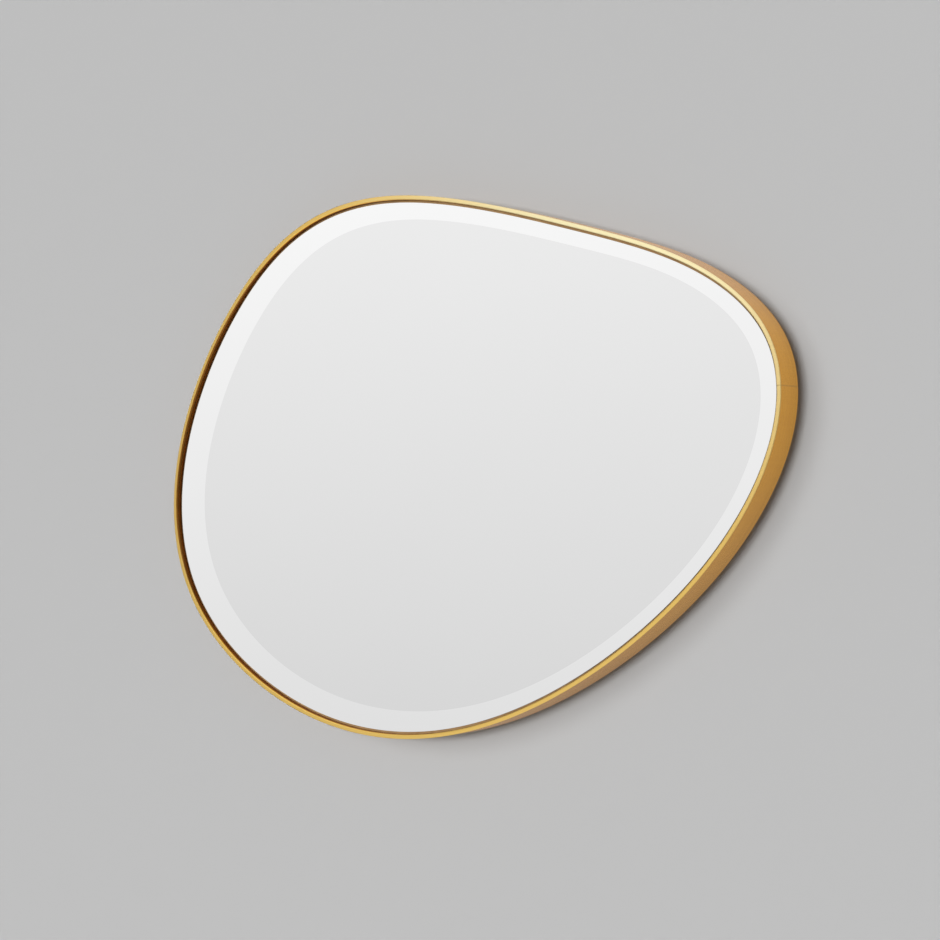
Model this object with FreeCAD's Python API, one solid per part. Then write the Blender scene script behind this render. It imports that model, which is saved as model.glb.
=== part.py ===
"""Irregular wall mirror: a bevelled pebble-shaped glass set inside a deep brushed brass band.

Row frame: X to the right, Z up, Y into the wall. The origin is on the wall plane, level with the
middle of the outline, so the front of the frame faces -Y and its back edge lies at Y = 0.
All sizes are in millimetres.
"""
import FreeCAD, Part
import math
import os

V = FreeCAD.Vector

# Control points (X, Z) of the closed cubic spline along the band's outer edge, anticlockwise
# from the right, seen from the front. The spline passes just inside them.
OUTLINE = [
    (386, 18), (386, 141), (286, 219), (157, 256), (-96, 322), (-265, 261),
    (-391, 39), (-383, -158), (-225, -286), (-43, -314), (140, -248), (300, -122),
]
# Control points of the closed spline where the bevel meets the flat of the glass. It isn't parallel
# to the outline: the bevel is widest on the left.
BEVEL_LINE = [
    (362, 19), (362, 132), (267, 202), (155, 232), (-78, 293), (-232, 240),
    (-349, 35), (-342, -142), (-201, -258), (-33, -281), (131, -227), (283, -109),
]
LINE_STATIONS = 84          # points that carry each closed line round the mirror

# Brass band
FRAME_DEPTH = 45.0          # from the wall to the front rim
RIM_WIDTH = 5.0             # wall thickness of the band, seen as the front rim
OUTER_ROUNDING = 0.8        # front edge of the rim on its outside
INNER_ROUNDING = 2.0        # front edge of the rim towards the glass

# Glass, seen from the front
GLASS_RECESS = 4.0          # from the front rim back to the flat of the glass
GLASS_THICKNESS = 5.0
GLASS_EDGE_THICKNESS = 3.0  # what the bevel leaves at the edge of the glass
EDGE_GAP = 2.5              # between the inside of the band and the glass
GASKET_RECESS = 1.5         # from the edge of the glass back to the gasket in the gap

# Layers behind the glass
FILM_THICKNESS = 0.3
TAPE_THICKNESS = 2.2
TAPE_WIDTH = 25.0
TAPE_STRIPS = [             # middle X, lower end Z, upper end Z of each strip
    (-290, -160, 120), (-145, -220, 220), (0, -225, 225), (145, -170, 195), (285, -70, 150),
]
BOARD_THICKNESS = 16.0
BOARD_GAP = 1.0             # between the inside of the band and the board

# Steel angle brackets that hold the board in the band
BRACKET_STATIONS = (0.056, 0.192, 0.299, 0.405, 0.521, 0.635, 0.757, 0.885)  # share of the spline
BRACKET_WIDTH = 20.0
BRACKET_THICKNESS = 1.8
BRACKET_LEG = 24.0          # flat leg, from the band inwards
BRACKET_HEIGHT = 14.0       # leg that is welded to the band
BRACKET_SCREW_INSET = 15.0
WELD_RADIUS = 1.6

# Screws
BRACKET_SCREW = {"shank_r": 1.75, "head_r": 4.0, "head_h": 2.2, "length": 9.0}
HANGER_SCREW = {"shank_r": 1.5, "head_r": 3.4, "head_h": 1.9, "length": 9.5}
HOLE_CLEARANCE = 0.05
HOLE_DEPTH = 8.5

# D-ring hangers: pivot (X, Z) and the direction that the ring points in
HANGERS = {
    "left": ((-210, 130), (0, 1)),
    "right": ((170, 130), (0, 1)),
    "upper": ((262, 96), (1, 0)),
    "lower": ((262, -84), (1, 0)),
}
STRAP_WIDTH = 12.0
STRAP_THICKNESS = 1.2
STRAP_LENGTH = 30.0
STRAP_SCREWS = (8.5, 22.0)  # from the pivot
KNUCKLE_RADIUS = 2.55
RING_WIRE_RADIUS = 1.25
RING_CLEARANCE = 0.08       # all round the ring's bar in the knuckle
RING_HALF_BAR = 6.8
RING_CORNER = 3.0
RING_SIDE = 1.0
RING_LEAN = 4.0             # degrees past upright, so that the ring rests towards the board

# Seam where the two ends of the band are welded together, on the right
SEAM_STATION = 0.960

# Planes along Y
RIM_PLANE = -FRAME_DEPTH
GLASS_FRONT = RIM_PLANE + GLASS_RECESS
GLASS_BACK = GLASS_FRONT + GLASS_THICKNESS
GLASS_LAND = GLASS_BACK - GLASS_EDGE_THICKNESS
FILM_BACK = GLASS_BACK + FILM_THICKNESS
BOARD_FRONT = FILM_BACK + TAPE_THICKNESS
BOARD_BACK = BOARD_FRONT + BOARD_THICKNESS
GLASS_INSET = RIM_WIDTH + EDGE_GAP
BOARD_INSET = RIM_WIDTH + BOARD_GAP


def closed_spline(control_points):
    """Closed uniform cubic spline on the wall plane."""
    poles = [V(x, 0, z) for x, z in control_points]
    knots = list(range(len(poles) + 1))
    curve = Part.BSplineCurve()
    curve.buildFromPolesMultsKnots(poles, [1] * len(knots), knots, True, 3)
    return curve


OUTLINE_CURVE = closed_spline(OUTLINE)
BEVEL_CURVE = closed_spline(BEVEL_LINE)


def station(share, curve=OUTLINE_CURVE):
    """Point, tangent and inward normal at a share of the way round a closed spline."""
    first = curve.FirstParameter
    parameter = first + (share % 1.0) * (curve.LastParameter - first)
    tangent = curve.tangent(parameter)[0]
    inward = V(-tangent.z, 0, tangent.x)
    return curve.value(parameter), tangent, inward


def inset_wire(inset, y, curve=OUTLINE_CURVE):
    """Closed line that runs parallel to a closed spline, inset from it, at depth y."""
    points = []
    for index in range(LINE_STATIONS):
        point, _, inward = station(index / LINE_STATIONS, curve)
        points.append(point + inward * inset + V(0, y, 0))
    line = Part.BSplineCurve()
    line.interpolate(Points=points, PeriodicFlag=True)
    return Part.Wire([line.toShape()])


def slab(inset, y_front, y_back):
    """Plate with the outline's shape, inset from it."""
    return Part.Face(inset_wire(inset, y_front)).extrude(V(0, y_back - y_front, 0))


def ring(outer_inset, inner_inset, y_front, y_back):
    """Closed strip between two lines parallel to the outline."""
    return slab(outer_inset, y_front, y_back).cut(slab(inner_inset, y_front, y_back))


def placed(shape, origin, across, along):
    """Move a shape built with X across, Z along and Y away from the board to a place."""
    turn = FreeCAD.Rotation(across, V(0, 1, 0), along, "ZXY")
    shape = shape.copy()
    shape.Placement = FreeCAD.Placement(origin, turn).multiply(shape.Placement)
    return shape


def rim_edges(band):
    """Edges of the band that lie on the rim's plane, the innermost first."""
    boxes = [(edge, edge.BoundBox) for edge in band.Edges]
    front = [edge for edge, box in boxes if max(abs(box.YMin - RIM_PLANE), abs(box.YMax - RIM_PLANE)) < 0.01]
    return sorted(front, key=lambda edge: edge.Length)


def frame_band():
    """Brass band whose front rim is rounded, more so towards the glass."""
    band = ring(0, RIM_WIDTH, RIM_PLANE, 0)
    band = band.makeFillet(INNER_ROUNDING, rim_edges(band)[:1])
    return band.makeFillet(OUTER_ROUNDING, rim_edges(band)[-1:])


def mirror_glass():
    """Flat glass whose front slopes back to a thin edge all round."""
    back = inset_wire(GLASS_INSET, GLASS_BACK)
    land = inset_wire(GLASS_INSET, GLASS_LAND)
    flat = inset_wire(0, GLASS_FRONT, BEVEL_CURVE)
    return Part.makeLoft([back, land, flat], True, True)


def edge_gasket():
    """Dark foam strip in the gap between the band and the glass."""
    return ring(RIM_WIDTH, GLASS_INSET, GLASS_LAND + GASKET_RECESS, BOARD_FRONT)


def mounting_tape(strip):
    """One vertical strip of foam tape between the glass and the board."""
    middle, low, high = strip
    corner = V(middle - TAPE_WIDTH / 2, FILM_BACK, low)
    return Part.makeBox(TAPE_WIDTH, TAPE_THICKNESS, high - low, corner)


def screw(size, point, seat):
    """Pan-head screw that enters the board along -Y, with its head on the plane y = seat."""
    base = V(point.x, seat, point.z)
    shank = Part.makeCylinder(size["shank_r"], size["length"], base, V(0, -1, 0))
    head = Part.makeCylinder(size["head_r"], size["head_h"], base, V(0, 1, 0))
    crown = [edge for edge in head.Edges if edge.BoundBox.YMin > seat + size["head_h"] - 0.01]
    head = head.makeFillet(size["head_h"] * 0.5, crown)
    slot_r = size["head_r"] * 0.55
    for angle in (0, 90):
        slot = Part.makeBox(2 * slot_r, size["head_h"], 0.8, V(-slot_r, size["head_h"] * 0.45, -0.4))
        slot.rotate(V(0, 0, 0), V(0, 1, 0), angle)
        slot.translate(base)
        head = head.cut(slot)
    return head.fuse(shank).removeSplitter()


def screw_hole(size, point):
    """Blind hole in the back of the board for one screw."""
    radius = size["shank_r"] + HOLE_CLEARANCE
    return Part.makeCylinder(radius, HOLE_DEPTH, V(point.x, BOARD_BACK, point.z), V(0, -1, 0))


def bracket_frame(share):
    """Place on the inside of the band where a bracket is welded: origin, across, inward."""
    point, tangent, inward = station(share)
    return point + inward * RIM_WIDTH + V(0, BOARD_BACK, 0), tangent, inward


def bracket_screw_point(share):
    origin, _, inward = bracket_frame(share)
    return origin + inward * BRACKET_SCREW_INSET


def bracket(share, inside, lining):
    """Angle bracket: one leg bent to the band, the other flat on the board with a rounded end.

    inside is the space within the band and lining the strip of it that lies against the band.
    """
    origin, across, inward = bracket_frame(share)
    half = BRACKET_WIDTH / 2
    leg = Part.makeBox(BRACKET_WIDTH, BRACKET_THICKNESS, BRACKET_LEG - half + 2, V(-half, 0, -2))
    end = Part.makeCylinder(half, BRACKET_THICKNESS, V(0, 0, BRACKET_LEG - half), V(0, 1, 0))
    flat_leg = placed(leg.fuse(end), origin, across, inward).common(inside)
    reach = Part.makeBox(BRACKET_WIDTH, BRACKET_HEIGHT, 10, V(-half, 0, -4))
    wall_leg = placed(reach, origin, across, inward).common(lining)
    hole = Part.makeCylinder(BRACKET_SCREW["shank_r"] + 0.3, 10, bracket_screw_point(share), V(0, 1, 0))
    return flat_leg.fuse(wall_leg).cut(hole).removeSplitter()


def bracket_welds(share, band, angle):
    """Two short weld beads along the sides of a bracket's upright leg."""
    origin, across, _ = bracket_frame(share)
    beads = []
    for side in (-1, 1):
        foot = origin + across * (side * BRACKET_WIDTH / 2) + V(0, 2.5, 0)
        bead = Part.makeCylinder(WELD_RADIUS, BRACKET_HEIGHT - 4, foot, V(0, 1, 0))
        beads.append(bead.cut(band).cut(angle))
    return beads


def band_seam_weld(band):
    """Weld bead on the inside of the band, behind the board, where its ends meet."""
    point, _, inward = station(SEAM_STATION)
    foot = point + inward * (RIM_WIDTH - 0.8) + V(0, BOARD_BACK + 1, 0)
    return Part.makeCylinder(2.2, -BOARD_BACK - 2, foot, V(0, 1, 0)).cut(band)


def hanger_frame(name):
    """Pivot of a D-ring, the direction across it and the direction that the ring points in."""
    (x, z), (dx, dz) = HANGERS[name]
    along = V(dx, 0, dz)
    across = V(0, 1, 0).cross(along)
    return V(x, BOARD_BACK, z), across, along


def hanger_screw_points(name):
    pivot, _, along = hanger_frame(name)
    return [pivot - along * distance for distance in STRAP_SCREWS]


def hanger_strap(name):
    """Steel strap with a rounded tail, two screw holes and a knuckle for the ring."""
    half = STRAP_WIDTH / 2
    tail = STRAP_LENGTH - half
    plate = Part.makeBox(STRAP_WIDTH, STRAP_THICKNESS, tail, V(-half, 0, -tail))
    end = Part.makeCylinder(half, STRAP_THICKNESS, V(0, 0, -tail), V(0, 1, 0))
    axis_start = V(-half, KNUCKLE_RADIUS, 0)
    knuckle = Part.makeCylinder(KNUCKLE_RADIUS, STRAP_WIDTH, axis_start, V(1, 0, 0))
    bore = Part.makeCylinder(RING_WIRE_RADIUS + RING_CLEARANCE, STRAP_WIDTH, axis_start, V(1, 0, 0))
    strap = plate.fuse([end, knuckle]).cut(bore)
    for distance in STRAP_SCREWS:
        radius = HANGER_SCREW["shank_r"] + 0.3
        strap = strap.cut(Part.makeCylinder(radius, 4, V(0, -1, -distance), V(0, 1, 0)))
    return placed(strap.removeSplitter(), *hanger_frame(name))


def ring_path():
    """Middle line of the D-shaped ring: bar, two corners, two sides and the bow."""
    half = RING_HALF_BAR + RING_CORNER
    level = RING_CORNER + RING_SIDE
    y = KNUCKLE_RADIUS
    slant = RING_CORNER * math.sqrt(0.5)
    edges = [Part.LineSegment(V(-RING_HALF_BAR, y, 0), V(RING_HALF_BAR, y, 0))]
    corner = V(RING_HALF_BAR + slant, y, RING_CORNER - slant)
    edges.append(Part.Arc(V(RING_HALF_BAR, y, 0), corner, V(half, y, RING_CORNER)))
    edges.append(Part.LineSegment(V(half, y, RING_CORNER), V(half, y, level)))
    edges.append(Part.Arc(V(half, y, level), V(0, y, level + half), V(-half, y, level)))
    edges.append(Part.LineSegment(V(-half, y, level), V(-half, y, RING_CORNER)))
    corner = V(-RING_HALF_BAR - slant, y, RING_CORNER - slant)
    edges.append(Part.Arc(V(-half, y, RING_CORNER), corner, V(-RING_HALF_BAR, y, 0)))
    return Part.Wire([edge.toShape() for edge in edges])


def hanger_ring(name):
    """Bent wire ring that swings in the strap's knuckle."""
    start = V(-RING_HALF_BAR, KNUCKLE_RADIUS, 0)
    section = Part.Wire([Part.Circle(start, V(1, 0, 0), RING_WIRE_RADIUS).toShape()])
    wire = ring_path().makePipeShell([section], True, True)
    wire.rotate(V(0, KNUCKLE_RADIUS, 0), V(1, 0, 0), RING_LEAN)
    return placed(wire, *hanger_frame(name))


def backing_board():
    """Board behind the glass, with blind holes for the screws."""
    board = slab(BOARD_INSET, BOARD_FRONT, BOARD_BACK)
    holes = [screw_hole(BRACKET_SCREW, bracket_screw_point(share)) for share in BRACKET_STATIONS]
    for name in HANGERS:
        holes += [screw_hole(HANGER_SCREW, point) for point in hanger_screw_points(name)]
    return board.cut(holes)


def build():
    """Every piece of the mirror, by node name."""
    band = frame_band()
    pieces = {
        "frame_band": band,
        "band_seam_weld": band_seam_weld(band),
        "mirror_glass": mirror_glass(),
        "edge_gasket": edge_gasket(),
        "safety_film": slab(GLASS_INSET, GLASS_BACK, FILM_BACK),
        "backing_board": backing_board(),
    }
    for number, strip in enumerate(TAPE_STRIPS, 1):
        pieces[f"mounting_tape_{number}"] = mounting_tape(strip)
    welds = []
    bracket_screws = []
    inside = slab(RIM_WIDTH, BOARD_BACK, 0)
    lining = inside.cut(slab(RIM_WIDTH + BRACKET_THICKNESS, BOARD_BACK, 0))
    for number, share in enumerate(BRACKET_STATIONS, 1):
        angle = bracket(share, inside, lining)
        pieces[f"bracket_{number}"] = angle
        welds += bracket_welds(share, band, angle)
        seat = BOARD_BACK + BRACKET_THICKNESS
        bracket_screws.append(screw(BRACKET_SCREW, bracket_screw_point(share), seat))
    pieces["bracket_weld_beads"] = Part.makeCompound(welds)
    pieces["bracket_screws"] = Part.makeCompound(bracket_screws)
    hanger_screws = []
    for name in HANGERS:
        pieces[f"hanger_strap_{name}"] = hanger_strap(name)
        pieces[f"hanger_ring_{name}"] = hanger_ring(name)
        for point in hanger_screw_points(name):
            hanger_screws.append(screw(HANGER_SCREW, point, BOARD_BACK + STRAP_THICKNESS))
    pieces["hanger_screws"] = Part.makeCompound(hanger_screws)
    return pieces


def main():
    os.makedirs("parts", exist_ok=True)
    for name, shape in build().items():
        shape.exportStep(f"parts/{name}.step")
        box = shape.BoundBox
        print(f"{name}: {len(shape.Solids)} solid(s), {shape.Volume / 1000:.2f} cm3, "
              f"{box.XLength:.1f} x {box.YLength:.1f} x {box.ZLength:.1f} mm, valid {shape.isValid()}")


main()
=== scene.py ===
"""Dresses the packed frame of an irregular wall mirror and sets the wall, lights and camera.

The brass band and the bevelled glass are modelled here round the outline that the CAD part uses;
every other CAD piece keeps its shape and gets its finish. Lengths are in metres, in the row frame:
X to the right, Z up, Y into the wall, with the wall at Y = 0.
"""
import math

import bmesh
import bpy
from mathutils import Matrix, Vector, kdtree


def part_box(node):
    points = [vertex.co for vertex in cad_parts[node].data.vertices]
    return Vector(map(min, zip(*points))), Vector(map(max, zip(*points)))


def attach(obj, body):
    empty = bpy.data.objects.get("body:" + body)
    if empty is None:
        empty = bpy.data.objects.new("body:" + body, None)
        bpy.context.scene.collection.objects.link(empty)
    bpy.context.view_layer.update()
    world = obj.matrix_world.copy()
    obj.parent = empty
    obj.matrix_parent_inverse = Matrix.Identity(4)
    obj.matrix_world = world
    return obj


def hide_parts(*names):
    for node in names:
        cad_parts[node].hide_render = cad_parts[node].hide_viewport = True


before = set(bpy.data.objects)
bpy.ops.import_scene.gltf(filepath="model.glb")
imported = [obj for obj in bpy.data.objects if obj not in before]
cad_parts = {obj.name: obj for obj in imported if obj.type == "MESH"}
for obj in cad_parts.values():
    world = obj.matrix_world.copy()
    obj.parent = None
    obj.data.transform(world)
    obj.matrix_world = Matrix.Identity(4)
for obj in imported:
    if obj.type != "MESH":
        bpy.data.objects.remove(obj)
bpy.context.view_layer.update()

bl_info = {
    "name": "Irregular bevelled wall mirror",
    "version": (1, 0, 0),
    "blender": (4, 5, 0),
    "location": "3D View > Sidebar > Wall mirror",
    "description": "Builds the brass band, bevelled glass, fixings and studio wall of a wall mirror",
    "category": "Object",
}

MM = 0.001

# Control points (X, Z) in millimetres of the closed cubic spline along the band's outer edge.
OUTLINE = [
    (386, 18), (386, 141), (286, 219), (157, 256), (-96, 322), (-265, 261),
    (-391, 39), (-383, -158), (-225, -286), (-43, -314), (140, -248), (300, -122),
]
# The same for the line where the bevel meets the flat of the glass
BEVEL_LINE = [
    (362, 19), (362, 132), (267, 202), (155, 232), (-78, 293), (-232, 240),
    (-349, 35), (-342, -142), (-201, -258), (-33, -281), (131, -227), (283, -109),
]
STEPS_PER_SPAN = 32              # points of a line between two control points
SEAM_SHARE = 0.960               # where the two ends of the band are welded together
RIM_HIGHLIGHT_PLACE = (0.20, -0.04, 0.26)     # middle of the painted highlight that makes the rim paler at its upper right
LEFT_SHADE_PLACE = (-0.38, -0.04, 0.06)    # middle of the painted shade that darkens the rim's left side next to the glass
LOW_REFLECTION_SHARE = 0.795         # painted reflection: tone of the silvering low on the mirror, as a share of its colour
BAND_DEPTH = -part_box("frame_band")[0].y
GLASS_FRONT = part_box("mirror_glass")[0].y
GLASS_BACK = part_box("mirror_glass")[1].y
GLASS_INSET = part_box("mirror_glass")[0].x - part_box("frame_band")[0].x

# What each CAD node is made of: the beginning of its name and the finish
CAD_FINISHES = {
    # The gasket's dark brown also paints the shade line round the glass.
    "edge_gasket": "gap_shade_foam",
    "safety_film": "grey_film",
    "mounting_tape": "foam_tape",
    "backing_board": "fibreboard",
    "bracket_screws": "zinc_screw",
    "bracket_weld": "weld_metal",
    "band_seam_weld": "weld_metal",
    "hanger_screws": "zinc_screw",
    "hanger_strap": "zinc_steel",
    "hanger_ring": "nickel_wire",
    "bracket_": "zinc_steel",
}


# ---------------------------------------------------------------------------
# Settings
# ---------------------------------------------------------------------------

class BandSettings(bpy.types.PropertyGroup):
    """Sizes and colours of the brass band."""

    rim_width: bpy.props.FloatProperty(
        name="Rim width", description="Thickness of the band, seen as the front rim",
        default=5.0 * MM, min=2.0 * MM, max=12.0 * MM, unit="LENGTH", precision=4)
    outer_rounding: bpy.props.FloatProperty(
        name="Outer rounding", description="Radius of the rim's outer edge",
        default=0.5 * MM, min=0.1 * MM, max=2.0 * MM, unit="LENGTH", precision=4)
    inner_rounding: bpy.props.FloatProperty(
        name="Inner rounding", description="Radius of the rim's edge towards the glass",
        default=1.3 * MM, min=0.1 * MM, max=3.0 * MM, unit="LENGTH", precision=4)
    back_chamfer: bpy.props.FloatProperty(
        name="Back chamfer", description="Width of the chamfers on the edges at the wall",
        default=0.3 * MM, min=0.05 * MM, max=1.0 * MM, unit="LENGTH", precision=4)
    light_brass: bpy.props.FloatVectorProperty(
        name="Light brass", description="Colour on the crests of the brushed grain",
        default=(0.98, 0.475, 0.030), min=0.0, max=1.0, size=3, subtype="COLOR")
    deep_brass: bpy.props.FloatVectorProperty(
        name="Deep brass", description="Colour in the hollows of the brushed grain",
        default=(0.82, 0.36, 0.020), min=0.0, max=1.0, size=3, subtype="COLOR")
    # The rim's brass is paler than the side's: partly painted highlight, for the brighter light the front
    # rim reflects.
    rim_brass: bpy.props.FloatVectorProperty(
        name="Rim brass", description="Colour of the front rim, partly painted highlight",
        default=(0.92, 0.59, 0.125), min=0.0, max=1.0, size=3, subtype="COLOR")
    # Painted highlight: the pale colour the rim takes round its upper right, where it catches the light.
    rim_highlight_brass: bpy.props.FloatVectorProperty(
        name="Rim highlight", description="Colour of the painted highlight on the rim",
        default=(1.0, 0.88, 0.52), min=0.0, max=1.0, size=3, subtype="COLOR")
    # Painted shade: dark colour on the band's inner face, the recess towards the glass.
    inner_shade_brass: bpy.props.FloatVectorProperty(
        name="Inner shade", description="Colour of the band's inner face, darkened as painted shade",
        default=(0.42, 0.165, 0.028), min=0.0, max=1.0, size=3, subtype="COLOR")
    roughness: bpy.props.FloatProperty(
        name="Roughness", description="Mean roughness of the brushed brass",
        default=0.23, min=0.05, max=0.9, subtype="FACTOR")
    # Painted shade: the dark inner colour also covers part of the rim on its left side.
    left_shade_width: bpy.props.FloatProperty(
        name="Left shade width", description="How far the painted shade of the inner face reaches over the rim's left side",
        default=2.6 * MM, min=0.0, max=5.0 * MM, unit="LENGTH", precision=4)
    rim_extra_roughness: bpy.props.FloatProperty(
        name="Rim roughness", description="How much rougher the front rim is than the side",
        default=0.12, min=0.0, max=0.5, subtype="FACTOR")


class GlassSettings(bpy.types.PropertyGroup):
    """Sizes of the bevelled glass and colours of its silvering, the bevel's lighter colour being a painted
    reflection.
    """

    land_depth: bpy.props.FloatProperty(
        name="Edge thickness", description="What the bevel leaves at the edge of the glass",
        default=3.0 * MM, min=1.0 * MM, max=6.0 * MM, unit="LENGTH", precision=4)
    arris: bpy.props.FloatProperty(
        name="Arris", description="Width of the polished line where the bevel meets the flat",
        default=0.3 * MM, min=0.05 * MM, max=1.0 * MM, unit="LENGTH", precision=4)
    flat_colour: bpy.props.FloatVectorProperty(
        name="Flat silver", description="Colour of the silvering behind the flat",
        default=(0.880, 0.880, 0.880), min=0.0, max=1.0, size=3, subtype="COLOR")
    # Painted reflection: the bevel is made lighter than the flat, for the brighter studio it reflects.
    bevel_reflection_colour: bpy.props.FloatVectorProperty(
        name="Bevel reflection", description="Colour behind the bevel, lighter than the flat as a painted reflection",
        default=(0.975, 0.975, 0.975), min=0.0, max=1.0, size=3, subtype="COLOR")


class StageSettings(bpy.types.PropertyGroup):
    """Wall, floor, light and camera."""

    wall_colour: bpy.props.FloatVectorProperty(
        name="Wall", description="Colour of the wall behind the mirror",
        default=(0.508, 0.508, 0.508), min=0.0, max=1.0, size=3, subtype="COLOR")
    floor_colour: bpy.props.FloatVectorProperty(
        name="Floor", description="Colour of the floor below the mirror",
        default=(0.60, 0.60, 0.60), min=0.0, max=1.0, size=3, subtype="COLOR")
    key_share: bpy.props.FloatProperty(
        name="Key light", description="Share of the light on the wall that comes from the key light",
        default=0.62, min=0.0, max=1.0, subtype="FACTOR")
    side_share: bpy.props.FloatProperty(
        name="Side light", description="Share of the light on the wall that comes from the side light",
        default=0.26, min=0.0, max=1.0, subtype="FACTOR")
    lens: bpy.props.FloatProperty(
        name="Lens", description="Focal length on a sensor 36 mm wide",
        default=99.574, min=20.0, max=300.0, subtype="DISTANCE_CAMERA")


# ---------------------------------------------------------------------------
# Outline and meshes
# ---------------------------------------------------------------------------

def line_mesh(control_points):
    """A closed spline as a chain of edges on the wall plane."""
    curve = bpy.data.curves.new("closed_line", "CURVE")
    curve.dimensions = "3D"
    curve.resolution_u = STEPS_PER_SPAN
    spline = curve.splines.new("NURBS")
    spline.points.add(len(control_points) - 1)
    for point, (x, z) in zip(spline.points, control_points):
        point.co = (x * MM, 0.0, z * MM, 1.0)
    spline.order_u = 4
    spline.use_cyclic_u = True
    holder = bpy.data.objects.new("closed_line", curve)
    mesh = bpy.data.meshes.new_from_object(holder)
    bpy.data.objects.remove(holder)
    bpy.data.curves.remove(curve)
    return mesh


def line_face(bm, control_points):
    """One flat face inside a closed spline, that faces away from the wall."""
    mesh = line_mesh(control_points)
    before = len(bm.edges)
    bm.from_mesh(mesh)
    bpy.data.meshes.remove(mesh)
    face = bmesh.ops.contextual_create(bm, geom=bm.edges[before:])["faces"][0]
    face.normal_update()
    if face.normal.y > 0:
        bmesh.ops.reverse_faces(bm, faces=[face])
    return face


def outline_face(bm, inset=0.0):
    """Flat face with the outline's shape, inset from it."""
    face = line_face(bm, OUTLINE)
    if inset > 0:
        border = inset_face(bm, face, inset)
        bmesh.ops.delete(bm, geom=border, context="FACES")
    return face


def inset_face(bm, face, width):
    """Shrinks the face evenly and returns the border of faces round it."""
    made = bmesh.ops.inset_region(bm, faces=[face], thickness=width, use_even_offset=True,
                                  use_boundary=True)
    return made["faces"]


def outline_stations():
    """Points along the outline from the seam on, and how far along it each lies."""
    mesh = line_mesh(OUTLINE)
    bm = bmesh.new()
    bm.from_mesh(mesh)
    bpy.data.meshes.remove(mesh)
    bm.verts.ensure_lookup_table()
    points = [vert.co.copy() for vert in bm.verts]
    bm.free()
    first = nearest_index(points, spline_point(SEAM_SHARE))
    points = points[first:] + points[:first]
    lengths = [0.0]
    for here, following in zip(points, points[1:] + points[:1]):
        lengths.append(lengths[-1] + (following - here).length)
    return points, lengths


def spline_point(share):
    """Point of the closed uniform cubic spline at a share of the way round."""
    count = len(OUTLINE)
    position = (share % 1.0) * count
    span = int(position)
    t = position - span
    weights = (
        (1 - t) ** 3 / 6,
        (3 * t ** 3 - 6 * t ** 2 + 4) / 6,
        (-3 * t ** 3 + 3 * t ** 2 + 3 * t + 1) / 6,
        t ** 3 / 6,
    )
    point = Vector((0.0, 0.0, 0.0))
    for step, weight in enumerate(weights):
        x, z = OUTLINE[(span + step) % count]
        point += weight * MM * Vector((x, 0.0, z))
    return point


def nearest_index(points, place):
    return min(range(len(points)), key=lambda index: (points[index] - place).length)


def new_piece(name, bm, materials):
    """Object from a finished bmesh, with its place in its mesh."""
    mesh = bpy.data.meshes.new(name)
    bm.to_mesh(mesh)
    bm.free()
    piece = bpy.data.objects.new(name, mesh)
    bpy.context.scene.collection.objects.link(piece)
    for material in materials:
        mesh.materials.append(material)
    return piece


def smooth_with_sharp_edges(piece, angle):
    piece.data.shade_smooth()
    piece.data.set_sharp_from_angle(angle=math.radians(angle))
    weighted = piece.modifiers.new("even_normals", "WEIGHTED_NORMAL")
    weighted.keep_sharp = True


# ---------------------------------------------------------------------------
# Node helpers
# ---------------------------------------------------------------------------

def new_material(name):
    """Material with an empty node tree, its Principled shader and its output."""
    material = bpy.data.materials.new(name)
    material.use_nodes = True
    tree = material.node_tree
    tree.nodes.clear()
    shader = add_node(tree, "ShaderNodeBsdfPrincipled", (600, 0))
    output = add_node(tree, "ShaderNodeOutputMaterial", (900, 0))
    tree.links.new(shader.outputs["BSDF"], output.inputs["Surface"])
    return material, tree, shader


def add_node(tree, kind, place=(0, 0), **settings):
    node = tree.nodes.new(kind)
    node.location = place
    for name, value in settings.items():
        setattr(node, name, value)
    return node


def set_inputs(node, **values):
    """Sets sockets by name, with _ for a space."""
    for name, value in values.items():
        node.inputs[name.replace("_", " ")].default_value = value


def colour_mix(tree, factor, first, second, place=(200, 0), blend="MIX"):
    """Mix of two colours, each a value or a socket. Returns the result socket."""
    mix = add_node(tree, "ShaderNodeMix", place, data_type="RGBA", blend_type=blend)
    for socket, value in ((0, factor), (6, first), (7, second)):
        if isinstance(value, bpy.types.NodeSocket):
            tree.links.new(value, mix.inputs[socket])
        elif socket == 0:
            mix.inputs[socket].default_value = value
        else:
            mix.inputs[socket].default_value = (*value, 1.0)
    return mix.outputs[2]


def spread(tree, value, from_range, to_range, place=(0, 0), smooth=False):
    """Map Range from a socket. Returns the result socket."""
    kind = "SMOOTHSTEP" if smooth else "LINEAR"
    node = add_node(tree, "ShaderNodeMapRange", place, interpolation_type=kind)
    tree.links.new(value, node.inputs["Value"])
    set_inputs(node, From_Min=from_range[0], From_Max=from_range[1])
    set_inputs(node, To_Min=to_range[0], To_Max=to_range[1])
    return node.outputs["Result"]


def calculate(tree, operation, first, second=None, place=(0, 0)):
    """Math node on sockets or numbers. Returns the result socket."""
    node = add_node(tree, "ShaderNodeMath", place, operation=operation)
    for index, value in enumerate((first, second)):
        if isinstance(value, bpy.types.NodeSocket):
            tree.links.new(value, node.inputs[index])
        elif value is not None:
            node.inputs[index].default_value = value
    return node.outputs[0]


def add_bump(tree, shader, height, strength, distance, place=(400, -300)):
    bump = add_node(tree, "ShaderNodeBump", place)
    set_inputs(bump, Strength=strength, Distance=distance)
    tree.links.new(height, bump.inputs["Height"])
    tree.links.new(bump.outputs["Normal"], shader.inputs["Normal"])


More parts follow.
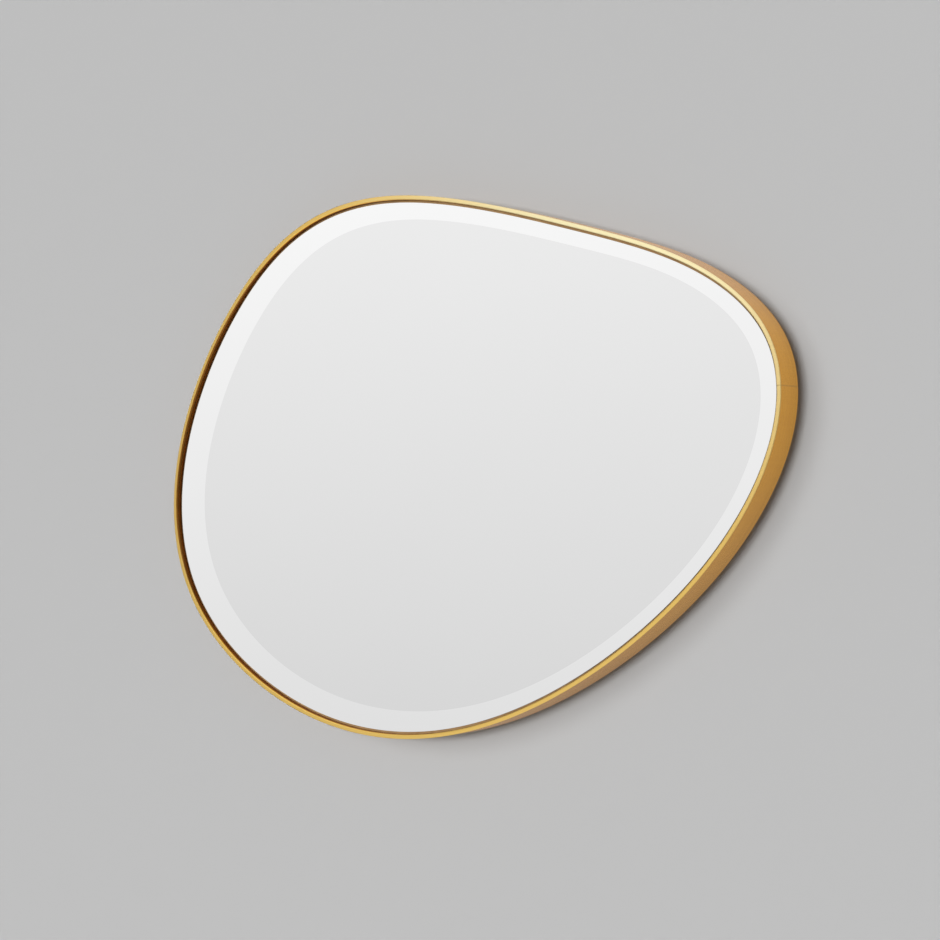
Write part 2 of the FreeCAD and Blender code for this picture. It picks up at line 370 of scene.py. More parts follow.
def effect_group(name, inputs, outputs):
    """Empty node group with float inputs (name: default) besides Vector, and named outputs."""
    group = bpy.data.node_groups.new(name, "ShaderNodeTree")
    group.interface.new_socket("Vector", in_out="INPUT", socket_type="NodeSocketVector")
    for label, default in inputs.items():
        socket = group.interface.new_socket(label, in_out="INPUT", socket_type="NodeSocketFloat")
        socket.default_value = default
    for label in outputs:
        group.interface.new_socket(label, in_out="OUTPUT", socket_type="NodeSocketFloat")
    start = add_node(group, "NodeGroupInput", (-800, 0))
    end = add_node(group, "NodeGroupOutput", (800, 0))
    return group, start, end


def place_group(tree, group, coordinates, place=(-200, 0), **values):
    node = add_node(tree, "ShaderNodeGroup", place)
    node.node_tree = group
    tree.links.new(coordinates, node.inputs["Vector"])
    set_inputs(node, **values)
    return node


def object_coordinates(tree):
    return add_node(tree, "ShaderNodeTexCoord", (-900, 0)).outputs["Object"]


def band_coordinates(tree):
    return add_node(tree, "ShaderNodeUVMap", (-900, 0), uv_map="along_band").outputs["UV"]


# ---------------------------------------------------------------------------
# Shared effects
# ---------------------------------------------------------------------------

def brushed_grain():
    """Fine and broad streaks that run along the first axis of the coordinates."""
    found = bpy.data.node_groups.get("brushed_grain")
    if found:
        return found
    inputs = {"Fine": 5200.0, "Broad": 700.0, "Stretch": 90.0}
    group, start, end = effect_group("brushed_grain", inputs, ("Fine streaks", "Broad streaks"))
    for row, (scale, result) in enumerate((("Fine", 0), ("Broad", 1))):
        split = add_node(group, "ShaderNodeSeparateXYZ", (-600, -300 * row))
        group.links.new(start.outputs["Vector"], split.inputs[0])
        across = start.outputs[scale]
        along = calculate(group, "DIVIDE", across, start.outputs["Stretch"], (-600, 150 - 300 * row))
        join = add_node(group, "ShaderNodeCombineXYZ", (-200, -300 * row))
        scales = (along, across, across)
        for axis, factor in enumerate(scales):
            moved = calculate(group, "MULTIPLY", split.outputs[axis], factor, (-400, -300 * row))
            group.links.new(moved, join.inputs[axis])
        noise = add_node(group, "ShaderNodeTexNoise", (0, -300 * row))
        set_inputs(noise, Scale=1.0, Detail=3.0, Roughness=0.6)
        group.links.new(join.outputs[0], noise.inputs["Vector"])
        group.links.new(noise.outputs["Fac"], end.inputs[result])
    return group


def surface_mottle():
    """Cloudy patches and small specks, for tarnish, dust and uneven plating."""
    found = bpy.data.node_groups.get("surface_mottle")
    if found:
        return found
    inputs = {"Patch scale": 30.0, "Speck scale": 900.0}
    group, start, end = effect_group("surface_mottle", inputs, ("Patches", "Specks"))
    for row, (scale, result) in enumerate((("Patch scale", 0), ("Speck scale", 1))):
        noise = add_node(group, "ShaderNodeTexNoise", (0, -300 * row))
        set_inputs(noise, Detail=4.0, Roughness=0.55)
        group.links.new(start.outputs["Vector"], noise.inputs["Vector"])
        group.links.new(start.outputs[scale], noise.inputs["Scale"])
        group.links.new(noise.outputs["Fac"], end.inputs[result])
    return group


# ---------------------------------------------------------------------------
# Finishes
# ---------------------------------------------------------------------------

def brushed_brass(settings, length):
    """Brass brushed along the band, with a faint line where its ends are welded, a painted highlight at the
    rim's upper right and painted shade on the inner face and the rim's left side.
    """
    material, tree, shader = new_material("brushed_brass")
    coordinates = band_coordinates(tree)
    grain = place_group(tree, brushed_grain(), coordinates, (-500, 0))
    crossed = add_node(tree, "ShaderNodeMapping", (-700, -300))
    crossed.inputs["Rotation"].default_value = (0.0, 0.0, math.radians(90))
    tree.links.new(coordinates, crossed.inputs["Vector"])
    cross = place_group(tree, brushed_grain(), crossed.outputs[0], (-500, -300), Broad=420.0, Stretch=25.0)
    streaks = calculate(tree, "MULTIPLY_ADD", cross.outputs["Broad streaks"], 0.35, (-300, -150))
    tree.links.new(grain.outputs["Broad streaks"], streaks.node.inputs[2])
    tone = spread(tree, streaks, (0.40, 0.95), (0.0, 1.0), (-100, -100))
    brass = colour_mix(tree, tone, settings.deep_brass, settings.light_brass, (100, 0))
    on_rim, shaded_inside = rim_masks(tree, coordinates, settings)
    # Painted highlight: the rim turns pale near its upper right and fades with the distance from there.
    rim_highlight_share = near_place(tree, RIM_HIGHLIGHT_PLACE, (0.05, 0.40), (1.0, 0.12), (-700, 900))
    rim = colour_mix(tree, rim_highlight_share, settings.rim_brass, settings.rim_highlight_brass, (100, 500))
    brass = colour_mix(tree, on_rim, brass, rim, (200, 300))
    # Painted shade on the inner face and the rim's left side.
    brass = colour_mix(tree, shaded_inside, brass, settings.inner_shade_brass, (250, 300))
    seam = seam_mask(tree, coordinates, length)
    shade = calculate(tree, "MULTIPLY", seam, 0.30, (100, 200))
    brass = colour_mix(tree, shade, brass, (0.30, 0.16, 0.05), (300, 0))
    tree.links.new(brass, shader.inputs["Base Color"])
    low, high = settings.roughness - 0.05, settings.roughness + 0.07
    rough = spread(tree, grain.outputs["Fine streaks"], (0.3, 0.7), (low, high), (100, -200))
    front = calculate(tree, "MULTIPLY_ADD", on_rim, settings.rim_extra_roughness, (300, -200))
    tree.links.new(rough, front.node.inputs[2])
    tree.links.new(front, shader.inputs["Roughness"])
    height = calculate(tree, "ADD", grain.outputs["Fine streaks"], grain.outputs["Broad streaks"],
                       (100, -400))
    add_bump(tree, shader, height, 0.25, 0.00006)
    set_inputs(shader, Metallic=1.0, Anisotropic=0.6, Anisotropic_Rotation=0.25)
    tangent = add_node(tree, "ShaderNodeTangent", (300, -500), direction_type="UV_MAP", uv_map="along_band")
    tree.links.new(tangent.outputs[0], shader.inputs["Tangent"])
    return material


def rim_masks(tree, coordinates, settings):
    """Where the front rim is, and where the inner face of the band is, with the painted shade of the inner
    face reaching over the rim's left side.
    """
    split = add_node(tree, "ShaderNodeSeparateXYZ", (-700, 600))
    tree.links.new(coordinates, split.inputs[0])
    across = split.outputs[1]
    edge = 0.3 * MM
    begins = spread(tree, across, (BAND_DEPTH - 3 * edge, BAND_DEPTH - edge), (0.0, 1.0), (-500, 700),
                    smooth=True)
    inner = BAND_DEPTH + settings.rim_width
    ends = spread(tree, across, (inner - edge, inner + edge), (1.0, 0.0), (-500, 600), smooth=True)
    half = settings.inner_rounding / 2
    # Painted shade: the inner face's dark colour reaches over the rim on the left.
    left_shade = near_place(tree, LEFT_SHADE_PLACE, (0.09, 0.27), (settings.left_shade_width, 0.0), (-700, 1100))
    reach = calculate(tree, "ADD", across, left_shade, (-600, 500))
    shaded_inside = spread(tree, reach, (inner + half, inner + 2 * half), (0.0, 1.0), (-500, 500), smooth=True)
    return calculate(tree, "MULTIPLY", begins, ends, (-300, 650)), shaded_inside


def near_place(tree, middle, distances, values, place):
    """Value that changes with the distance from a point of the object."""
    away = add_node(tree, "ShaderNodeVectorMath", place, operation="DISTANCE")
    tree.links.new(object_coordinates(tree), away.inputs[0])
    away.inputs[1].default_value = middle
    return spread(tree, away.outputs["Value"], distances, values, (place[0] + 200, place[1]), smooth=True)


def seam_mask(tree, coordinates, length):
    """1 on the weld line at either end of the band's coordinates, 0 elsewhere."""
    split = add_node(tree, "ShaderNodeSeparateXYZ", (-700, 300))
    tree.links.new(coordinates, split.inputs[0])
    to_end = calculate(tree, "SUBTRACT", length, split.outputs[0], (-500, 400))
    nearest = calculate(tree, "MINIMUM", split.outputs[0], to_end, (-300, 300))
    return spread(tree, nearest, (0.0002, 0.0012), (1.0, 0.0), (-100, 300), smooth=True)


def silvering(name, colour):
    """Clean mirror: silvered glass, a little deeper towards its lower edge as a painted reflection of a
    studio darker below.
    """
    material, tree, shader = new_material(name)
    coordinates = object_coordinates(tree)
    mottle = place_group(tree, surface_mottle(), coordinates, Patch_scale=7.0)
    split = add_node(tree, "ShaderNodeSeparateXYZ", (-500, 300))
    tree.links.new(coordinates, split.inputs[0])
    # Painted reflection: the silver darkens towards the bottom of the mirror, for a studio that is darker
    # below.
    low = [channel * LOW_REFLECTION_SHARE for channel in colour]
    height = spread(tree, split.outputs[2], (-0.30, 0.30), (0.0, 1.0), (-300, 300))
    silver = colour_mix(tree, height, low, colour, (-100, 200))
    tone = spread(tree, mottle.outputs["Patches"], (0.35, 0.65), (0.0, 0.004))
    tree.links.new(colour_mix(tree, tone, silver, (0.0, 0.0, 0.0)), shader.inputs["Base Color"])
    set_inputs(shader, Metallic=1.0, Roughness=0.0)
    return material


def glass_edge():
    """Ground green edge of the glass."""
    material, tree, shader = new_material("glass_edge")
    mottle = place_group(tree, surface_mottle(), object_coordinates(tree), Patch_scale=120.0)
    tone = spread(tree, mottle.outputs["Patches"], (0.3, 0.7), (0.0, 1.0))
    green = colour_mix(tree, tone, (0.50, 0.60, 0.55), (0.64, 0.72, 0.68))
    tree.links.new(green, shader.inputs["Base Color"])
    rough = spread(tree, mottle.outputs["Specks"], (0.3, 0.7), (0.22, 0.42), (200, -200))
    tree.links.new(rough, shader.inputs["Roughness"])
    add_bump(tree, shader, mottle.outputs["Specks"], 0.2, 0.0001)
    return material


def mottled(name, dark, light, rough, patch, speck, bump=0.2, bump_depth=0.0001, metallic=0.0):
    """Plain finish with cloudy colour, specks and a fine surface."""
    material, tree, shader = new_material(name)
    coordinates = object_coordinates(tree)
    mottle = place_group(tree, surface_mottle(), coordinates, Patch_scale=patch, Speck_scale=speck)
    both = calculate(tree, "ADD", mottle.outputs["Patches"], mottle.outputs["Specks"], (0, 100))
    tone = spread(tree, both, (0.75, 1.25), (0.0, 1.0), (100, 100))
    tree.links.new(colour_mix(tree, tone, dark, light, (300, 100)), shader.inputs["Base Color"])
    roughness = spread(tree, mottle.outputs["Specks"], (0.3, 0.7), rough, (300, -100))
    tree.links.new(roughness, shader.inputs["Roughness"])
    add_bump(tree, shader, mottle.outputs["Specks"], bump, bump_depth)
    set_inputs(shader, Metallic=metallic)
    return material, tree, shader


# Foam gasket in the gap round the glass; its dark brown is partly painted shade, for the shade line between
# band and glass.
def gap_shade_foam():
    return mottled("gap_shade_foam", (0.30, 0.17, 0.07), (0.42, 0.26, 0.12), (0.75, 0.95), 60.0, 2600.0,
                   0.5, 0.0002)[0]


def grey_film():
    return mottled("grey_film", (0.20, 0.21, 0.22), (0.26, 0.27, 0.28), (0.30, 0.42), 20.0, 1500.0)[0]


def foam_tape():
    return mottled("foam_tape", (0.66, 0.66, 0.64), (0.80, 0.80, 0.78), (0.7, 0.9), 50.0, 2200.0,
                   0.4, 0.0002)[0]


def fibreboard():
    """Brown fibreboard: pressed fibres in all directions over a cloudy ground."""
    material, tree, shader = mottled("fibreboard", (0.17, 0.095, 0.050), (0.33, 0.205, 0.115),
                                     (0.55, 0.8), 16.0, 1300.0, 0.35, 0.0002)
    coordinates = object_coordinates(tree)
    ground = shader.inputs["Base Color"].links[0].from_socket
    for turn, place in ((25, 500), (115, 700)):
        mapping = add_node(tree, "ShaderNodeMapping", (-700, place))
        mapping.inputs["Rotation"].default_value = (0.0, math.radians(turn), 0.0)
        tree.links.new(coordinates, mapping.inputs["Vector"])
        fibres = place_group(tree, brushed_grain(), mapping.outputs[0], (-500, place),
                             Fine=1500.0, Stretch=14.0)
        mask = spread(tree, fibres.outputs["Fine streaks"], (0.58, 0.72), (0.0, 0.55), (-200, place))
        ground = colour_mix(tree, mask, ground, (0.42, 0.29, 0.17), (0, place))
    tree.links.new(ground, shader.inputs["Base Color"])
    return material


def zinc_steel():
    """Zinc-plated sheet steel with a crystal pattern."""
    material, tree, shader = mottled("zinc_steel", (0.46, 0.47, 0.49), (0.66, 0.67, 0.68), (0.26, 0.46),
                                     45.0, 1800.0, 0.15, 0.0001, 1.0)
    crystals = add_node(tree, "ShaderNodeTexVoronoi", (-400, 500))
    set_inputs(crystals, Scale=260.0)
    tree.links.new(object_coordinates(tree), crystals.inputs["Vector"])
    ground = shader.inputs["Base Color"].links[0].from_socket
    grey = add_node(tree, "ShaderNodeRGBToBW", (-200, 500))
    tree.links.new(crystals.outputs["Color"], grey.inputs[0])
    mask = spread(tree, grey.outputs[0], (0.2, 0.8), (0.0, 0.35), (0, 500))
    ground = colour_mix(tree, mask, ground, (0.78, 0.79, 0.80), (300, 500))
    tree.links.new(ground, shader.inputs["Base Color"])
    return material


def zinc_screw():
    return mottled("zinc_screw", (0.50, 0.44, 0.30), (0.74, 0.69, 0.56), (0.22, 0.40), 160.0, 3000.0,
                   0.15, 0.00005, 1.0)[0]


def nickel_wire():
    return mottled("nickel_wire", (0.62, 0.60, 0.56), (0.80, 0.78, 0.74), (0.12, 0.26), 90.0, 2400.0,
                   0.1, 0.00005, 1.0)[0]


def weld_metal():
    """Weld beads: ripples across the bead and a brown heat tint."""
    material, tree, shader = mottled("weld_metal", (0.22, 0.17, 0.13), (0.50, 0.46, 0.42), (0.35, 0.6),
                                     180.0, 2500.0, 0.3, 0.0002, 1.0)
    ripples = add_node(tree, "ShaderNodeTexWave", (-200, -500), wave_type="BANDS", bands_direction="Y")
    set_inputs(ripples, Scale=190.0, Distortion=2.5, Detail=2.0, Detail_Scale=1.5)
    tree.links.new(object_coordinates(tree), ripples.inputs["Vector"])
    add_bump(tree, shader, ripples.outputs["Fac"], 0.8, 0.0005, (400, -500))
    return material


FINISHES = {
    "gap_shade_foam": gap_shade_foam, "grey_film": grey_film, "foam_tape": foam_tape,
    "fibreboard": fibreboard, "zinc_steel": zinc_steel, "zinc_screw": zinc_screw,
    "nickel_wire": nickel_wire, "weld_metal": weld_metal,
}


def give_finish(wanted):
    """Gives the CAD nodes whose finish is in wanted their material."""
    made = {}
    for name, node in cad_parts.items():
        finish = next((finish for start, finish in CAD_FINISHES.items() if name.startswith(start)), None)
        if finish not in wanted:
            continue
        if finish not in made:
            made[finish] = FINISHES[finish]()
        node.data.materials.clear()
        node.data.materials.append(made[finish])
    if len(made) < len(wanted):
        raise RuntimeError(f"no CAD node takes the finishes {sorted(set(wanted) - set(made))}")


# ---------------------------------------------------------------------------
# Pieces
# ---------------------------------------------------------------------------

def band_mesh(settings):
    """Closed band: outline, rim width and depth, with rounded front edges."""
    bm = bmesh.new()
    face = outline_face(bm)
    border = inset_face(bm, face, settings.rim_width)
    bmesh.ops.delete(bm, geom=[face], context="FACES")
    made = bmesh.ops.extrude_face_region(bm, geom=border, use_keep_orig=True)["geom"]
    front = [part for part in made if isinstance(part, bmesh.types.BMVert)]
    bmesh.ops.translate(bm, vec=(0.0, -BAND_DEPTH, 0.0), verts=front)
    bmesh.ops.recalc_face_normals(bm, faces=bm.faces[:])
    round_corners(bm, -BAND_DEPTH, True, settings.outer_rounding, 5)
    round_corners(bm, -BAND_DEPTH, False, settings.inner_rounding, 8)
    round_corners(bm, 0.0, True, settings.back_chamfer, 1)
    round_corners(bm, 0.0, False, settings.back_chamfer, 1)
    return bm


def round_corners(bm, plane, outside, width, segments):
    """Rounds the band's outer or inner edge on the plane Y = plane."""
    corners = [edge for edge in bm.edges if is_corner_at(edge, plane) and is_outside(edge) == outside]
    bmesh.ops.bevel(bm, geom=corners, offset=width, offset_type="OFFSET", segments=segments,
                    profile=0.5, affect="EDGES", material=-1)


def is_corner_at(edge, plane):
    """True for an edge that lies on the plane Y = plane and turns a right angle there."""
    level = all(abs(vert.co.y - plane) < 1e-6 for vert in edge.verts)
    return level and edge.calc_face_angle(0.0) > math.radians(60)


def is_outside(edge):
    """True where the upright face beside the edge looks away from the middle of the mirror."""
    upright = min(edge.link_faces, key=lambda face: abs(face.normal.y))
    return upright.normal.dot(edge.verts[0].co) > 0


def map_along_band(bm, rim_width):
    """UV map in metres: along the band from the weld, and round its section from the wall."""
    points, lengths = outline_stations()
    count = len(points)
    tree = kdtree.KDTree(count)
    for index, point in enumerate(points):
        tree.insert(point, index)
    tree.balance()
    layer = bm.loops.layers.uv.new("along_band")
    for face in bm.faces:
        found = [tree.find(Vector((loop.vert.co.x, 0.0, loop.vert.co.z))) for loop in face.loops]
        crosses_seam = max(hit[1] for hit in found) - min(hit[1] for hit in found) > count / 2
        for loop, (_, index, inset) in zip(face.loops, found):
            station = count if crosses_seam and index < count / 2 else index
            across = section_position(loop.vert.co.y, inset, rim_width, face.normal.y > 0.9)
            loop[layer].uv = (lengths[station], across)


def section_position(y, inset, rim_width, on_wall):
    """How far round the band's section a point lies, from its outer edge at the wall."""
    if on_wall:
        return inset
    if inset < rim_width / 2:
        return inset - y
    return 2 * BAND_DEPTH + inset + y


def glass_mesh(settings):
    """Bevelled plate. Material 0 is the flat, 1 the bevel and 2 the edge and back."""
    bm = bmesh.new()
    face = outline_face(bm, GLASS_INSET)
    bmesh.ops.translate(bm, vec=(0.0, GLASS_BACK, 0.0), verts=bm.verts[:])
    made = bmesh.ops.extrude_face_region(bm, geom=[face], use_keep_orig=True)["geom"]
    land = [part for part in made if isinstance(part, bmesh.types.BMVert)]
    front = next(part for part in made if isinstance(part, bmesh.types.BMFace))
    bmesh.ops.translate(bm, vec=(0.0, -settings.land_depth, 0.0), verts=land)
    for part in bm.faces:
        part.material_index = 2
    land_line = front.edges[:]
    bmesh.ops.delete(bm, geom=[front], context="FACES_ONLY")
    flat = line_face(bm, BEVEL_LINE)
    flat.material_index = 0
    flat_line = flat.edges[:]
    bmesh.ops.translate(bm, vec=(0.0, GLASS_FRONT, 0.0), verts=flat.verts[:])
    for part in bmesh.ops.bridge_loops(bm, edges=land_line + flat_line)["faces"]:
        part.material_index = 1
    bmesh.ops.recalc_face_normals(bm, faces=bm.faces[:])
    bmesh.ops.bevel(bm, geom=flat_line, offset=settings.arris, offset_type="OFFSET", segments=2,
                    profile=0.5, affect="EDGES", material=1)
    return bm


class MIRROR_OT_brass_band(bpy.types.Operator):
    """Builds the brass band that stands for the CAD band"""

    bl_idname = "mirror.brass_band"
    bl_label = "Brass band"

    def execute(self, context):
        settings = context.scene.mirror_band
        bm = band_mesh(settings)
        map_along_band(bm, settings.rim_width)
        length = outline_stations()[1][-1]
        band = new_piece("brass_band", bm, [brushed_brass(settings, length)])
        smooth_with_sharp_edges(band, 30)
        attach(band, "mirror")
        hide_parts("frame_band")
        band.visible_glossy = False
        return {"FINISHED"}


class MIRROR_OT_bevelled_glass(bpy.types.Operator):
    """Builds the bevelled glass that stands for the CAD glass"""

    bl_idname = "mirror.bevelled_glass"
    bl_label = "Bevelled glass"

    def execute(self, context):
        settings = context.scene.mirror_glass
        # The bevel's lighter silvering is a painted reflection.
        finishes = [silvering("flat_silver_and_reflection", settings.flat_colour),
                    silvering("bevel_silver_and_reflection", settings.bevel_reflection_colour), glass_edge()]
        glass = new_piece("bevelled_glass", glass_mesh(settings), finishes)
        smooth_with_sharp_edges(glass, 1.5)
        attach(glass, "mirror")
        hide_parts("mirror_glass")
        return {"FINISHED"}


class MIRROR_OT_backing(bpy.types.Operator):
    """Finishes the layers behind the glass: gasket, film, tape and board"""

    bl_idname = "mirror.backing"
    bl_label = "Gasket, film, tape and board"

    def execute(self, context):
        give_finish(("gap_shade_foam", "grey_film", "foam_tape", "fibreboard"))
        return {"FINISHED"}


class MIRROR_OT_fixings(bpy.types.Operator):
    """Finishes the brackets, welds, screws and hangers"""

    bl_idname = "mirror.fixings"
    bl_label = "Brackets, welds, screws and hangers"

    def execute(self, context):
        give_finish(("zinc_steel", "zinc_screw", "nickel_wire", "weld_metal"))
        return {"FINISHED"}


# ---------------------------------------------------------------------------
# Stage
# ---------------------------------------------------------------------------

WALL_HALF_SIZE = 4.0
WALL_GAP = 0.0004                # the wall stands this far behind the band
WALL_OPENING_INSET = 0.0025      # the opening behind the band, inside its outer edge
SHADOWLESS_SHARE = 0.75          # how much of the wall's shadow is left out where metal shows it
FLOOR_LEVEL = -1.5
FLOOR_HALF_SIZE = 1.6
MIRRORED_LEVEL = 0.96            # brightness of the studio that the mirror shows
BACKDROP_LEVEL = 0.88            # brightness of the world where the camera looks past the wall
DARK_CORNER = (0.6, -0.8, 0.0)   # where brushed metal shows the dark end of the studio
CAMERA_PLACE = Vector((1.4310, -2.4943, -0.0197))
CAMERA_AIM = Vector((-0.5, 0.86600619, 0.0057691))


def one_sided(name, colour):
    """Matt paint that can't be seen from behind and that metal shows with little of its shadow, as a glow
    of painted light that is brighter higher up.
    """
    material, tree, shader = new_material(name)
    coordinates = object_coordinates(tree)
    mottle = place_group(tree, surface_mottle(), coordinates, Patch_scale=1.5)
    shade = [channel * 0.995 for channel in colour]
    tone = colour_mix(tree, mottle.outputs["Patches"], shade, colour)
    tree.links.new(tone, shader.inputs["Base Color"])
    set_inputs(shader, Roughness=1.0, Specular_IOR_Level=0.0)
    split = add_node(tree, "ShaderNodeSeparateXYZ", (0, 600))
    tree.links.new(coordinates, split.inputs[0])
    # Painted light: on glossy rays the paint glows in its own colour, brighter higher up and darker lower
    # down.
    glow = add_node(tree, "ShaderNodeEmission", (600, 400))
    tree.links.new(tone, glow.inputs["Color"])
    level = spread(tree, split.outputs[2], (-0.25, 0.25), (0.82, 1.38), (200, 600))
    tree.links.new(level, glow.inputs["Strength"])
    path = add_node(tree, "ShaderNodeLightPath", (200, 800))
    share = calculate(tree, "MULTIPLY", path.outputs["Is Glossy Ray"], SHADOWLESS_SHARE, (400, 800))
    shown = mixed_shader(tree, share, shader.outputs["BSDF"], glow.outputs[0], (800, 300))
    clear = add_node(tree, "ShaderNodeBsdfTransparent", (600, 200))
    side = add_node(tree, "ShaderNodeNewGeometry", (400, 400))
    paint = mixed_shader(tree, side.outputs["Backfacing"], shown, clear.outputs["BSDF"], (1000, 100))
    output = next(node for node in tree.nodes if node.bl_idname == "ShaderNodeOutputMaterial")
    tree.links.new(paint, output.inputs["Surface"])
    return material


def mixed_shader(tree, factor, first, second, place):
    mix = add_node(tree, "ShaderNodeMixShader", place)
    for index, socket in enumerate((factor, first, second)):
        tree.links.new(socket, mix.inputs[index])
    return mix.outputs[0]


def wall_mesh():
    """Wall with an opening behind the band, so that the back of the mirror stays lit."""
    bm = bmesh.new()
    face = outline_face(bm, WALL_OPENING_INSET)
    rim = face.edges[:]
    bmesh.ops.delete(bm, geom=[face], context="FACES_ONLY")
    square = bmesh.ops.create_circle(bm, cap_ends=False, segments=len(rim), radius=WALL_HALF_SIZE)["verts"]
    bmesh.ops.rotate(bm, verts=square, cent=(0, 0, 0), matrix=quarter_turn())
    edges = {edge for vert in square for edge in vert.link_edges}
    bmesh.ops.bridge_loops(bm, edges=rim + list(edges))
    bmesh.ops.translate(bm, vec=(0.0, WALL_GAP, 0.0), verts=bm.verts[:])
    face_towards(bm, Vector((0, -1, 0)))
    return bm


def quarter_turn():
    return Vector((0, 0, 1)).rotation_difference(Vector((0, -1, 0))).to_matrix()


def face_towards(bm, direction):
    bm.normal_update()
    turned = [face for face in bm.faces if face.normal.dot(direction) < 0]
    bmesh.ops.reverse_faces(bm, faces=turned)


def floor_mesh():
    bm = bmesh.new()
    bmesh.ops.create_grid(bm, x_segments=8, y_segments=8, size=FLOOR_HALF_SIZE)
    bmesh.ops.translate(bm, vec=(0.0, WALL_GAP - FLOOR_HALF_SIZE, FLOOR_LEVEL), verts=bm.verts[:])
    face_towards(bm, Vector((0, 0, 1)))
    return bm


def add_lamp(name, share, turn, lean, size):
    """Soft lamp in front of the wall that gives a share of the wall's light.

    It leans off the wall's normal towards the side turn, counted from +X, and size is the
    angle across it. All angles are in degrees.
    """
    turn, lean = math.radians(turn), math.radians(lean)
    data = bpy.data.lights.new(name, "SUN")
    data.energy = math.pi * share / math.cos(lean)
    data.angle = math.radians(size)
    lamp = bpy.data.objects.new(name, data)
    aside = math.sin(lean)
    towards = Vector((aside * math.cos(turn), -math.cos(lean), aside * math.sin(turn)))
    lamp.location = towards * 3.0
    lamp.rotation_euler = towards.to_track_quat("Z", "Y").to_euler()
    lamp.visible_glossy = False
    bpy.context.scene.collection.objects.link(lamp)


def studio_world(settings):
    """Soft light from all round, and the pale studio that metal and glass show."""
    world = bpy.data.worlds.new("studio")
    bpy.context.scene.world = world
    world.use_nodes = True
    tree = world.node_tree
    tree.nodes.clear()
    direction = add_node(tree, "ShaderNodeTexCoord", (-1200, 0)).outputs["Generated"]
    split = add_node(tree, "ShaderNodeSeparateXYZ", (-1000, 0))
    tree.links.new(direction, split.inputs[0])
    x, y, z = split.outputs
    rest = 1.0 - settings.key_share - settings.side_share
    fill = spread(tree, y, (-0.05, 0.25), (rest, 0.75), (-600, 300), smooth=True)
    pale = spread(tree, z, (-0.092, 0.092), (0.77, 1.24), (-800, 0))
    ceiling = spread(tree, z, (0.35, 0.62), (1.0, 0.50), (-800, -100), smooth=True)
    pale = calculate(tree, "MULTIPLY", pale, ceiling, (-600, -50))
    facing = add_node(tree, "ShaderNodeVectorMath", (-800, -600), operation="DOT_PRODUCT")
    tree.links.new(direction, facing.inputs[0])
    facing.inputs[1].default_value = DARK_CORNER
    open_side = spread(tree, facing.outputs["Value"], (0.56, 0.90), (1.0, 0.20), (-600, -600), smooth=True)
    brushed = calculate(tree, "MULTIPLY", pale, open_side, (-400, -200))
    middle = spread(tree, x, (-0.72, -0.44), (0.10, 1.20), (-600, -400), smooth=True)
    far_left = spread(tree, x, (-0.95, -0.80), (1.0, 0.0), (-600, -500), smooth=True)
    windows = calculate(tree, "MAXIMUM", middle, far_left, (-400, -450))
    brushed = calculate(tree, "MULTIPLY", brushed, windows, (-300, -200))
    path = add_node(tree, "ShaderNodeLightPath", (-400, 600))
    second = spread(tree, path.outputs["Ray Depth"], (2.4, 2.6), (0.0, 1.0), (-400, -400))
    seen = colour_level(tree, path.outputs["Is Singular Ray"], brushed, MIRRORED_LEVEL, (-200, -200))
    seen = colour_level(tree, second, seen, brushed, (-100, -100))
    shown = calculate(tree, "MAXIMUM", path.outputs["Is Glossy Ray"], path.outputs["Is Transmission Ray"],
                      (-200, 500))
    from_paint = calculate(tree, "MINIMUM", path.outputs["Diffuse Depth"], 1.0, (-200, 700))
    shown = calculate(tree, "SUBTRACT", shown, from_paint, (0, 600))
    shown = calculate(tree, "MAXIMUM", shown, 0.0, (100, 600))
    reflected = colour_level(tree, shown, fill, seen, (100, 200))
    strength = colour_level(tree, path.outputs["Is Camera Ray"], reflected, BACKDROP_LEVEL,
                            (300, 200))
    background = add_node(tree, "ShaderNodeBackground", (500, 0))
    tree.links.new(strength, background.inputs["Strength"])
    output = add_node(tree, "ShaderNodeOutputWorld", (700, 0))
    tree.links.new(background.outputs[0], output.inputs["Surface"])
    background.inputs["Color"].default_value = (1.0, 1.0, 1.0, 1.0)


def colour_level(tree, factor, first, second, place):
    """Mix of two levels, each a number or a socket. Returns the result socket."""
    mix = add_node(tree, "ShaderNodeMix", place, data_type="FLOAT")
    for socket, value in ((0, factor), (2, first), (3, second)):
        if isinstance(value, bpy.types.NodeSocket):
            tree.links.new(value, mix.inputs[socket])
        else:
            mix.inputs[socket].default_value = value
    return mix.outputs[0]


def add_camera(settings):
    data = bpy.data.cameras.new("camera")
    data.sensor_width = 36.0
    data.lens = settings.lens
    data.clip_start = 0.05
    camera = bpy.data.objects.new("camera", data)
    camera.location = CAMERA_PLACE
    camera.rotation_euler = CAMERA_AIM.to_track_quat("-Z", "Y").to_euler()
    bpy.context.scene.collection.objects.link(camera)
    bpy.context.scene.camera = camera


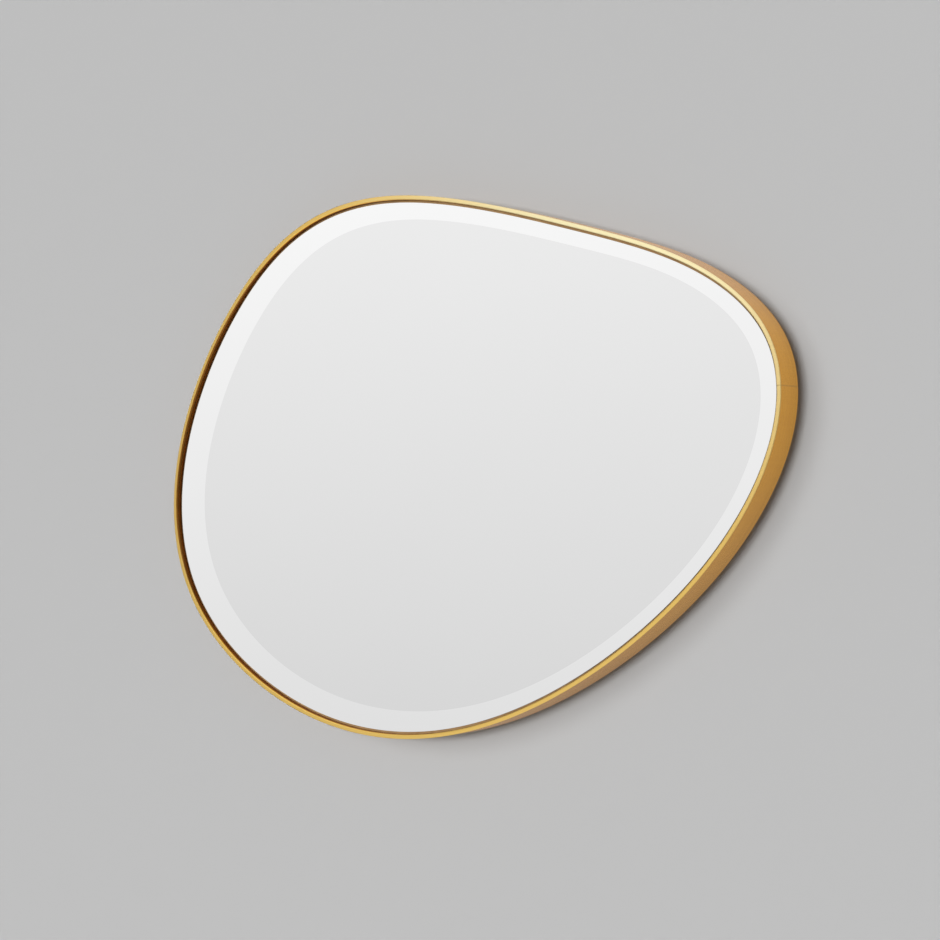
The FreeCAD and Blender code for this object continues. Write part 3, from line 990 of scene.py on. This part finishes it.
class MIRROR_OT_stage(bpy.types.Operator):
    """Builds the wall, floor, light, world and camera"""

    bl_idname = "mirror.stage"
    bl_label = "Wall, floor, light and camera"

    def execute(self, context):
        settings = context.scene.mirror_stage
        wall = new_piece("wall", wall_mesh(), [one_sided("wall_paint", settings.wall_colour)])
        floor = new_piece("floor", floor_mesh(), [one_sided("floor_paint", settings.floor_colour)])
        floor.visible_glossy = False
        add_lamp("key_light", settings.key_share, 163, 10, 15)
        add_lamp("side_light", settings.side_share, 152, 32, 28)
        studio_world(settings)
        add_camera(settings)
        context.scene.view_settings.view_transform = "Standard"
        return {"FINISHED"}


# ---------------------------------------------------------------------------
# Panel and registration
# ---------------------------------------------------------------------------

OPERATORS = (MIRROR_OT_stage, MIRROR_OT_brass_band, MIRROR_OT_bevelled_glass, MIRROR_OT_backing,
             MIRROR_OT_fixings)
SETTINGS = {"mirror_band": BandSettings, "mirror_glass": GlassSettings, "mirror_stage": StageSettings}


class MIRROR_PT_builder(bpy.types.Panel):
    """Lists the settings and the steps that build the mirror"""

    bl_idname = "MIRROR_PT_builder"
    bl_label = "Wall mirror"
    bl_space_type = "VIEW_3D"
    bl_region_type = "UI"
    bl_category = "Wall mirror"

    def draw(self, context):
        for name, group in SETTINGS.items():
            box = self.layout.box()
            box.label(text=group.__doc__)
            for setting in group.__annotations__:
                box.prop(getattr(context.scene, name), setting)
        for operator in OPERATORS:
            self.layout.operator(operator.bl_idname)


CLASSES = (*SETTINGS.values(), *OPERATORS, MIRROR_PT_builder)


def register():
    for item in CLASSES:
        bpy.utils.register_class(item)
    for name, group in SETTINGS.items():
        setattr(bpy.types.Scene, name, bpy.props.PointerProperty(type=group))


def unregister():
    for name in SETTINGS:
        delattr(bpy.types.Scene, name)
    for item in reversed(CLASSES):
        bpy.utils.unregister_class(item)


def main():
    register()
    bpy.ops.mirror.stage()
    bpy.ops.mirror.brass_band()
    bpy.ops.mirror.bevelled_glass()
    bpy.ops.mirror.backing()
    bpy.ops.mirror.fixings()


if __name__ == "__main__":
    main()
